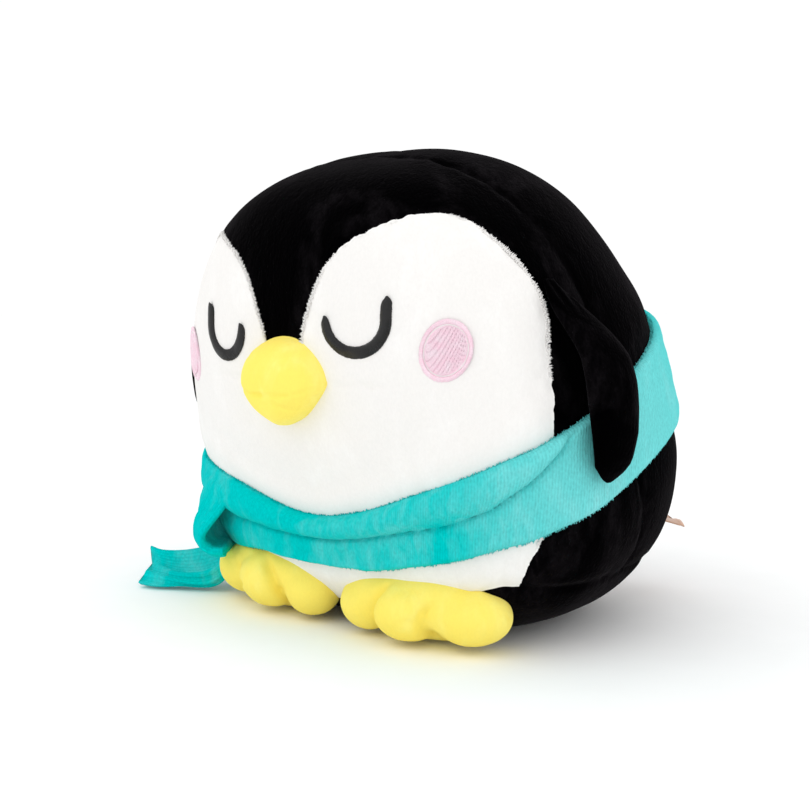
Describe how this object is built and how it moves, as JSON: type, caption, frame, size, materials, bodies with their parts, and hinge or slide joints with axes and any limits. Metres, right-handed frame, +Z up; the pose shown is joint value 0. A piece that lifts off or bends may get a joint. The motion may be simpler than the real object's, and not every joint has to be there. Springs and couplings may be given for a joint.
{
  "type": "plush penguin",
  "caption": "Round cushion-like plush penguin with closed eyes, a cone-like beak, a scarf knotted at one side, hanging flippers and soft three-toed feet; sits upright on a floor or shelf.",
  "frame": {"origin": "on the floor, under the middle of the body where it stands on its flat base", "axes": "-Y is the way the face looks, +X is the toy's own left side, +Z is up"},
  "size_m": [0.3055, 0.2436, 0.2416],
  "materials": {
    "white_plush": "short pile",
    "black_plush": "short pile",
    "yellow_plush": "short pile",
    "teal_plush": "brushed short pile",
    "fibre_filling": "loose polyester fibre",
    "dark_thread": "satin stitch",
    "pink_thread": "fill stitch with a satin border",
    "tan_satin": "woven satin, blank"
  },
  "bodies": {
    "body": {"face_panel": "white_plush", "hood_panel": "black_plush", "back_panel_left": "black_plush", "back_panel_right": "black_plush", "base_panel": "black_plush", "body_filling": "fibre_filling", "beak_upper_panel": "yellow_plush", "beak_lower_panel": "yellow_plush", "beak_filling": "fibre_filling", "left_eye_embroidery": "dark_thread", "right_eye_embroidery": "dark_thread", "left_cheek_patch": "pink_thread", "right_cheek_patch": "pink_thread", "scarf_band": "teal_plush", "scarf_knot": "teal_plush"},
    "left_flipper": {"left_flipper_outer_panel": "black_plush", "left_flipper_inner_panel": "black_plush", "left_flipper_filling": "fibre_filling"},
    "right_flipper": {"right_flipper_outer_panel": "black_plush", "right_flipper_inner_panel": "black_plush", "right_flipper_filling": "fibre_filling"},
    "left_foot": {"left_foot_top_panel": "yellow_plush", "left_foot_sole_panel": "yellow_plush", "left_foot_filling": "fibre_filling"},
    "right_foot": {"right_foot_top_panel": "yellow_plush", "right_foot_sole_panel": "yellow_plush", "right_foot_filling": "fibre_filling"},
    "scarf_long_end": {"scarf_tail_long": "teal_plush"},
    "scarf_short_end": {"scarf_tail_short": "teal_plush"},
    "label": {"care_label": "tan_satin"}
  },
  "joints": [
    {"name": "left_flipper_lift", "type": "hinge", "parent": "body", "child": "left_flipper", "pos_m": [0.1105, -0.045, 0.1758], "axis": [0, -1, 0], "range_deg": [0, 80], "stiffness_Nm_per_rad": 0.01},
    {"name": "right_flipper_lift", "type": "hinge", "parent": "body", "child": "right_flipper", "pos_m": [-0.1105, -0.045, 0.1758], "axis": [0, 1, 0], "range_deg": [0, 80], "stiffness_Nm_per_rad": 0.01},
    {"name": "left_foot_flex", "type": "hinge", "parent": "body", "child": "left_foot", "pos_m": [0.048, -0.0455, 0.002], "axis": [1, 0, 0], "range_deg": [0, 30], "stiffness_Nm_per_rad": 0.05},
    {"name": "right_foot_flex", "type": "hinge", "parent": "body", "child": "right_foot", "pos_m": [-0.048, -0.0455, 0.002], "axis": [1, 0, 0], "range_deg": [0, 30], "stiffness_Nm_per_rad": 0.05},
    {"name": "scarf_long_end_swing", "type": "hinge", "parent": "body", "child": "scarf_long_end", "pos_m": [-0.1038, -0.0728, 0.0265], "axis": [0, 1, 0], "range_deg": [0, 60]},
    {"name": "scarf_short_end_swing", "type": "hinge", "parent": "body", "child": "scarf_short_end", "pos_m": [-0.1279, -0.0269, 0.0458], "axis": [0, 1, 0], "range_deg": [0, 25]},
    {"name": "label_swing", "type": "hinge", "parent": "body", "child": "label", "pos_m": [0.0704, 0.0949, 0.0446], "axis": [0.809, -0.5878, 0], "range_deg": [0, 45], "stiffness_Nm_per_rad": 0.002}
  ]
}
